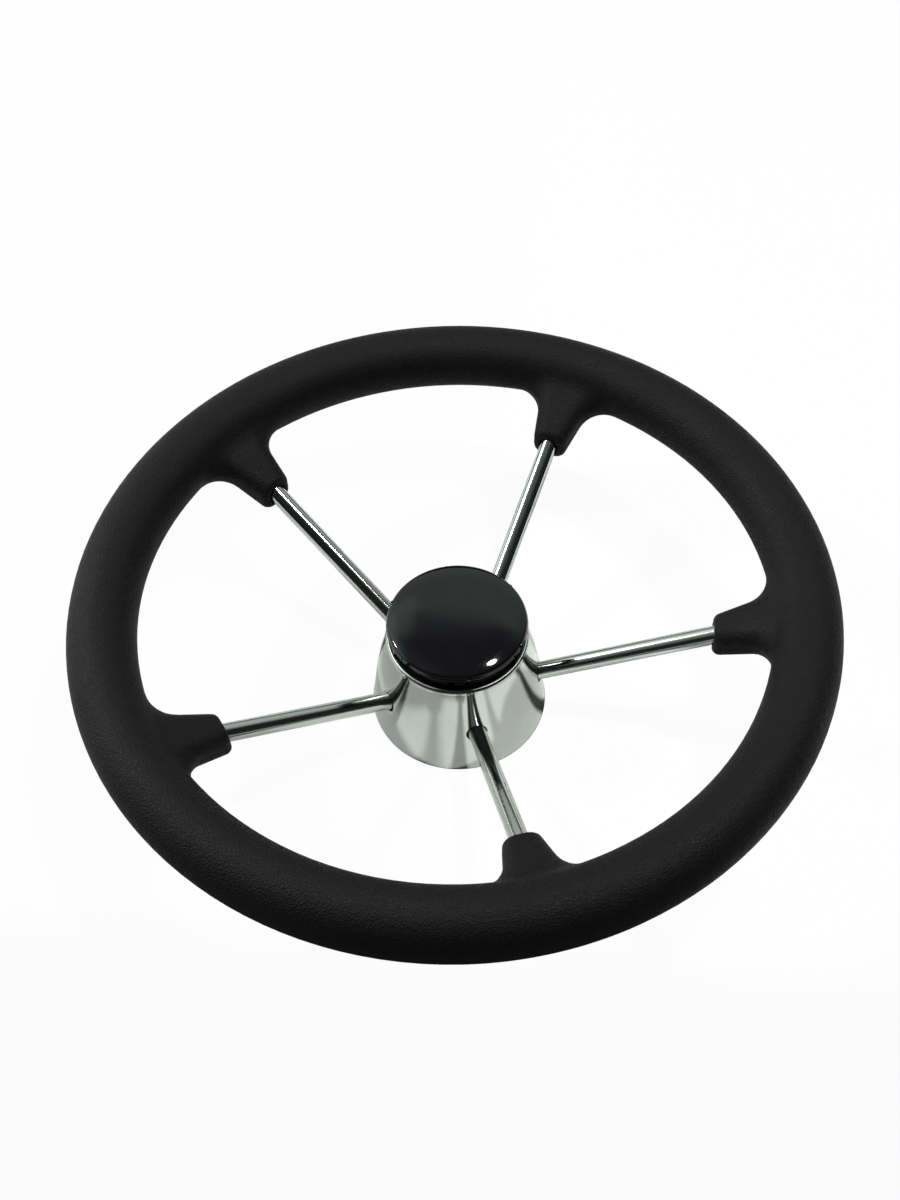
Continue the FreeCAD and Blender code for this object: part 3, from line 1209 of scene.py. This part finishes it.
@dataclass
class CentreCap:
    """The push-in cap: a domed disc on a ring of sprung fingers."""

    radius: float
    underside: float = 60.6 * MM
    side_height: float = 1.4 * MM
    side_draft: float = 0.37 * MM
    edge_inset: float = 1.35 * MM
    edge_rise: float = 1.3 * MM
    foot_round: float = 0.15 * MM
    dome_rise: float = 1.2 * MM
    shoulder_rise: float = 2.15 * MM
    shoulder_power: float = 5.0
    crease_round: float = 1.5 * MM
    top_wall: float = 2.2 * MM
    finger_inner: float = 29.39 * MM
    finger_wall: float = 1.8 * MM
    finger_foot: float = 40.0 * MM
    waist_radius: float = 30.1 * MM
    waist_height: float = 54.2 * MM
    pad_radius: float = 31.81 * MM
    pad_top: float = 52.3 * MM
    pad_height: float = 3.0 * MM
    pad_lead: float = 1.2 * MM
    finger_chamfer: float = 0.3 * MM
    slot_width: float = 3.0 * MM
    slot_top_gap: float = 2.0 * MM
    finger_count: int = 6
    nub_turn: float = math.radians(-75.7)
    nub_foot: float = 0.05 * MM
    nub_top: float = 1.3 * MM
    nub_proud: float = 0.4 * MM
    nub_sunk: float = 0.15 * MM
    nub_half_width: float = 0.8 * MM
    nub_foot_rise: float = 0.2 * MM
    nub_foot_size: float = 0.55
    nub_end_size: float = 0.15
    nub_bends: tuple[float, ...] = (0.0, 0.35, 0.7, 1.05, 1.4)
    nub_steps: int = 10
    band_below: float = 0.01 * MM
    band_above: float = 0.05 * MM
    band_segments: int = 144
    dome_steps: int = 70
    crease_steps: int = 14
    edge_steps: int = 16
    side_steps: int = 5
    foot_steps: int = 6
    bottom_steps: int = 4
    ceiling_steps: int = 12
    finger_steps: int = 40
    sharp_above: float = 24.0
    segments: int = 240

    def _dome(self, distance: float, crease: tuple[float, float]) -> float:
        """Height of the dome at a distance from the axis.

        Args:
            distance: The distance.
            crease: Where the dome and the edge would meet.

        Returns:
            The height.
        """
        share = distance / crease[0]
        drop = self.dome_rise * share ** 2 + self.shoulder_rise * share ** self.shoulder_power
        return crease[1] + self.dome_rise + self.shoulder_rise - drop

    def _blend(self, crease: tuple[float, float], edge: float) -> list[tuple[float, float]]:
        """Points that round the crease between the dome and the edge.

        Args:
            crease: Where the dome and the edge would meet.
            edge: The angle at which the edge looks up there, in degrees.

        Returns:
            An arc that leaves the dome gently and ends a little way down the edge.
        """
        fall = (2 * self.dome_rise + self.shoulder_power * self.shoulder_rise) / crease[0]
        top = 90.0 - math.degrees(math.atan(fall))
        half = math.radians(top - edge) / 2
        middle = math.radians(top + edge) / 2
        reach = self.crease_round / math.cos(half)
        centre = (crease[0] - reach * math.cos(middle), crease[1] - reach * math.sin(middle))
        return arc(centre, self.crease_round, top, edge, self.crease_steps)

    def outline(self) -> list[tuple[float, float]]:
        """The disc's outline, from the middle of its dome over the edge to its hollow underside.

        Returns:
            Its (radius, height) points.
        """
        side_top = self.underside + self.side_height
        crease = (self.radius - self.edge_inset, side_top + self.edge_rise)
        inset = self.edge_inset - self.side_draft
        lean = math.atan(self.side_draft / self.side_height)
        steep = 2 * math.atan(inset / self.edge_rise) - lean
        bend = math.hypot(inset, self.edge_rise) / (2 * math.sin((steep - lean) / 2))
        middle = (self.radius - self.side_draft - bend * math.cos(lean), side_top - bend * math.sin(lean))
        edge = arc(middle, bend, math.degrees(steep), math.degrees(lean), self.edge_steps)
        soft = self._blend(crease, math.degrees(steep))
        reach = [soft[0][0] * k / self.dome_steps for k in range(self.dome_steps)]
        dome = [(distance, self._dome(distance, crease)) for distance in reach]
        foot = (self.radius - self.foot_round, self.underside + self.foot_round)
        lower = arc(foot, self.foot_round, math.degrees(lean), -90.0, self.foot_steps)
        hollow = [self.finger_inner * k / self.ceiling_steps for k in range(self.ceiling_steps + 1)]
        ceiling = [(distance, self._dome(distance, crease) - self.top_wall) for distance in hollow]
        side = run(edge[-1], lower[0], self.side_steps)[1:-1]
        bottom = run(lower[-1], (self.finger_inner, self.underside), self.bottom_steps)[1:]
        edge = [point for point in edge if point[1] < soft[-1][1] - HAIR]
        return dome + soft + edge + side + lower + bottom + ceiling[::-1]

    def _finger(self, work: Mesher, number: int) -> None:
        """Add one sprung finger with its gripping pad.

        Args:
            work: What gathers the moulding.
            number: The finger's number, from 0.
        """
        shank, inner = self.finger_inner + self.finger_wall, self.finger_inner
        top, foot, chamfer = self.underside - self.slot_top_gap, self.finger_foot, self.finger_chamfer
        pad_foot = self.pad_top - self.pad_height
        outline = [
            (inner, foot + chamfer),
            (inner + chamfer, foot),
            (shank - chamfer, foot),
            (shank, foot + chamfer),
            (shank, pad_foot - self.pad_lead),
            (self.pad_radius, pad_foot),
            (self.pad_radius, self.pad_top),
            (self.waist_radius, self.waist_height),
            (shank, top),
            (inner, top),
        ]
        pitch = FULL_TURN / self.finger_count
        trims = [math.asin(self.slot_width / 2 / radius) for radius, _ in outline]
        start = [(number - 0.5) * pitch + trim for trim in trims]
        end = [(number + 0.5) * pitch - trim for trim in trims]
        work.sector(outline, start, end, self.finger_steps)

    def _nub(self, work: Mesher, turn: float) -> None:
        """Add one of the small ribs low on the disc's side.

        Args:
            work: What gathers the moulding.
            turn: The rib's angle about the axis.
        """
        foot, top = self.underside + self.nub_foot, self.underside + self.nub_top
        taper = 1 - self.nub_end_size
        ends = [(top - self.nub_proud * (1 - math.sin(bend)), math.cos(bend) * taper + self.nub_end_size)
                for bend in self.nub_bends]
        turns = [math.pi * k / self.nub_steps - math.pi / 2 for k in range(self.nub_steps + 1)]
        rows = []
        for height, size in ((foot, self.nub_foot_size), (foot + self.nub_foot_rise, 1.0), *ends):
            middle = polar(self.radius - self.nub_sunk, turn, height)
            out = polar(self.nub_proud * size, turn)
            side = polar(self.nub_half_width * size, turn + math.pi / 2)
            rows.append([middle + out * math.cos(t) + side * math.sin(t) for t in turns])
        work.sheet(rows, closed=True, capped=True)

    def mesh(self) -> bpy.types.Mesh:
        """The whole moulding.

        Returns:
            The finished mesh.
        """
        work = Mesher()
        work.lathe(self.outline(), self.segments)
        foot, top = self.underside - self.slot_top_gap - self.band_below, self.underside + self.band_above
        shank = self.finger_inner + self.finger_wall
        band = [(self.finger_inner, top), (self.finger_inner, foot), (shank, foot), (shank, top)]
        work.lathe(band, self.band_segments, looped=True)
        for number in range(self.finger_count):
            self._finger(work, number)
            self._nub(work, self.nub_turn + number * FULL_TURN / self.finger_count)
        return work.mesh("centre_cap_moulding", self.sharp_above)

    def build(self) -> None:
        """Put the cap in the scene in place of its solid."""
        plastic = GlossPlastic("gloss_black_plastic").material()
        shown("centre_cap_moulding", self.mesh(), [plastic], Body.CAP, Slot.PLASTIC, "centre_cap")


# the studio


@dataclass(frozen=True)
class Softbox:
    """A soft lamp that stands round the wheel and faces it."""

    name: str
    azimuth: float
    elevation: float
    distance: float
    width: float
    height: float
    brightness: float

    def build(self, target: Vector) -> None:
        """Hang the lamp; its power gives its face the stated brightness.

        Args:
            target: The point that it faces.
        """
        light = bpy.data.lights.new(self.name, "AREA")
        light.shape = "ELLIPSE"
        light.size, light.size_y = self.width, self.height
        light.energy = math.pi * (math.pi / 4 * self.width * self.height) * self.brightness
        lamp = placed(self.name, light)
        way = heading(self.azimuth, self.elevation)
        lamp.location = target + way * self.distance
        lamp.rotation_mode = "QUATERNION"
        lamp.rotation_quaternion = (-way).to_track_quat("-Z", "Y")
        lamp.visible_camera = False


@dataclass(frozen=True)
class Viewpoint:
    """Where the photograph was taken from. Angles are in degrees."""

    target: Vector
    turn: float = 3.798
    rise: float = 54.327
    roll: float = 0.578
    distance: float = 601.93 * MM
    target_right: float = -16.318 * MM
    target_up: float = 17.281 * MM
    focal_pixels: float = 1343.45
    middle_right: float = 43.0
    middle_down: float = 35.4
    picture_height: float = 1200.0
    sensor_width: float = 36.0

    def build(self) -> None:
        """Make the camera and choose it for the scene."""
        data = bpy.data.cameras.new("photo_camera")
        data.sensor_width = self.sensor_width
        data.lens = self.sensor_width * self.focal_pixels / self.picture_height
        data.shift_x = -self.middle_right / self.picture_height
        data.shift_y = self.middle_down / self.picture_height
        camera = placed("photo_camera", data)
        turn = Matrix.Rotation(math.radians(self.turn), 3, "Z")
        rise, roll = math.radians(self.rise), math.radians(self.roll)
        ahead = turn @ Vector((0.0, math.cos(rise), -math.sin(rise)))
        level = turn @ Vector((1.0, 0.0, 0.0))
        over = level.cross(ahead)
        right = level * math.cos(roll) + over * math.sin(roll)
        above = over * math.cos(roll) - level * math.sin(roll)
        place = self.target - ahead * self.distance - right * self.target_right - above * self.target_up
        axes = Matrix((right, above, -ahead)).transposed()
        camera.matrix_world = Matrix.Translation(place) @ axes.to_4x4()
        bpy.context.scene.camera = camera


@dataclass(frozen=True)
class Patch:
    """A soft-edged patch of brightness in the surroundings. Angles are in degrees."""

    azimuth: float
    elevation: float
    full: float
    faded: float
    brightness: float

    def seen(self, nodes: Nodes, way: Value) -> Value:
        """How bright the patch is in each direction.

        Args:
            nodes: The world's tree.
            way: The direction looked in.

        Returns:
            The brightness, 0 outside the patch.
        """
        near = nodes.facing(way, heading(self.azimuth, self.elevation))
        edge, core = math.cos(math.radians(self.faded)), math.cos(math.radians(self.full))
        return near.between(edge, core) * self.brightness


@dataclass
class Studio:
    """A white floor in a dark room with a bright far wall, soft patches of light and two lamps."""

    target: Vector
    floor_radius: float = 1.1
    floor_drop: float = 0.05 * MM
    floor_rings: int = 24
    floor_segments: int = 96
    hub_edge: tuple[float, float] = (39.0 * MM, 42.0 * MM)
    seen_white: float = 0.96
    mirrored_from: tuple[float, float] = (150.0 * MM, 320.0 * MM)
    mirrored_floor: float = 0.30
    # painted shade on the paper: darker to the left and dark on the camera's side; the camera sees the floor
    # white
    near_shade_span: tuple[float, float] = (0.115, 0.155)
    left_shade_span: tuple[float, float] = (-0.05, 0.05)
    shaded_left_tone: Colour = (0.69, 0.71, 0.69, 1.0)
    right_tone: Colour = (0.86, 0.88, 0.86, 1.0)
    near_shade_tone: Colour = (0.06, 0.06, 0.06, 1.0)
    room_tint: Colour = (0.97, 1.03, 1.0, 1.0)
    room: float = 0.018
    lit_share: float = 0.04
    far_wall: Patch = Patch(112.0, 5.0, 58.0, 92.0, 0.50)
    wall_top: tuple[float, float] = (51.3, 58.9)
    wall_facing: float = 81.4
    wall_ends: float = 0.54
    patches: tuple[Patch, ...] = (
        Patch(166.0, 18.0, 14.0, 40.0, 0.95),
        Patch(128.0, 45.0, 5.0, 15.0, 0.30),
        Patch(90.0, 76.0, 22.0, 40.0, 0.065),
        Patch(-165.0, 50.0, 10.0, 35.0, 0.15),
    )
    lamps: tuple[Softbox, ...] = (
        Softbox("key_lamp", 15.8, 70.1, 1.8, 0.185, 0.185, 280.0),
        Softbox("side_lamp", 164.4, 42.3, 1.8, 0.20, 0.20, 235.0),
    )

    def _world(self) -> None:
        """White behind the wheel; the room's own brightness for every other ray."""
        world = bpy.data.worlds.new("studio_world")
        world.use_nodes = True
        bpy.context.scene.world = world
        nodes = Nodes(world.node_tree)
        way = nodes.add("ShaderNodeTexCoord", output="Generated")
        _, _, height = nodes.parts(way)
        low, high = (math.tan(math.radians(angle)) for angle in self.wall_top)
        ahead = nodes.facing(way, heading(self.wall_facing, 0.0))
        climb = height / ahead.maths("MAXIMUM", ahead, self.wall_ends)
        around = self.far_wall.seen(nodes, way) * (1.0 - climb.between(low, high))
        for patch in self.patches:
            around = around + patch.seen(nodes, way)
        camera, mirror = nodes.rays()
        bright = around * mirror.spread(self.lit_share, 1.0) + self.room
        strength = camera * (1.0 - bright) + bright
        tint = nodes.mixed(camera, self.room_tint, WHITE)
        light = nodes.add("ShaderNodeBackground", {}, {"Color": tint, "Strength": strength})
        nodes.add("ShaderNodeOutputWorld", {}, {"Surface": light})

    def _floor(self) -> None:
        """A round floor: pale paper under the wheel, with painted shade that darkens it to the left and on
        the camera's side, and seen white.
        """
        work = Mesher()
        reach = [self.floor_radius * k / self.floor_rings for k in range(self.floor_rings + 1)]
        work.lathe([(distance, -self.floor_drop) for distance in reach], self.floor_segments)
        floor = placed("studio_floor", work.mesh("studio_floor"))
        material, nodes = new_material("pale_paper")
        camera, mirror = nodes.rays()
        place = nodes.place()
        across, depth, _ = nodes.parts(place)
        # painted shade: the paper darkens to the left and towards the camera
        tone = nodes.mixed(across.between(*self.left_shade_span), self.shaded_left_tone, self.right_tone)
        pale = nodes.mixed((0.0 - depth).between(*self.near_shade_span), tone, self.near_shade_tone)
        paper = nodes.add("ShaderNodeBsdfDiffuse", {}, {"Color": pale})
        white = nodes.add("ShaderNodeEmission", {}, {"Color": WHITE, "Strength": 1.0})
        radius = nodes.from_axis(place)
        shown_white = camera * radius.between(*self.hub_edge) * self.seen_white
        mirrored_white = mirror * radius.between(*self.mirrored_from) * self.mirrored_floor
        feeds = {"Fac": shown_white + mirrored_white, 1: paper, 2: white}
        mix = nodes.add("ShaderNodeMixShader", {}, feeds)
        nodes.add("ShaderNodeOutputMaterial", {}, {"Surface": mix})
        floor.data.materials.append(material)

    def build(self) -> None:
        """Set the studio up."""
        bpy.context.scene.view_settings.view_transform = "Standard"
        self._world()
        self._floor()
        for lamp in self.lamps:
            lamp.build(self.target)


def main() -> None:
    """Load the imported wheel, dress it and light it."""
    logging.basicConfig(level=logging.INFO, format="%(message)s")
    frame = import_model()
    nodes = frame["nodes"]
    line = SpokeLine()
    target = Vector((0.0, 0.0, line.ring_height))
    Viewpoint(target).build()
    LOG.info("camera placed")
    Studio(target).build()
    LOG.info("studio set up")
    FoamGrip(line).build(nodes["foam_grip"])
    LOG.info("foam grip built")
    Spokes(line).build()
    LOG.info("spokes and welds built")
    shell = HubShell(line, base_radius=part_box("hub_shell")[1].x)
    shell.build()
    LOG.info("hub shell built")
    HubCore(shell).build(nodes)
    LOG.info("hub core dressed")
    CentreCap(radius=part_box("centre_cap")[1].x).build()
    LOG.info("centre cap built")


if __name__ == "__main__":
    main()
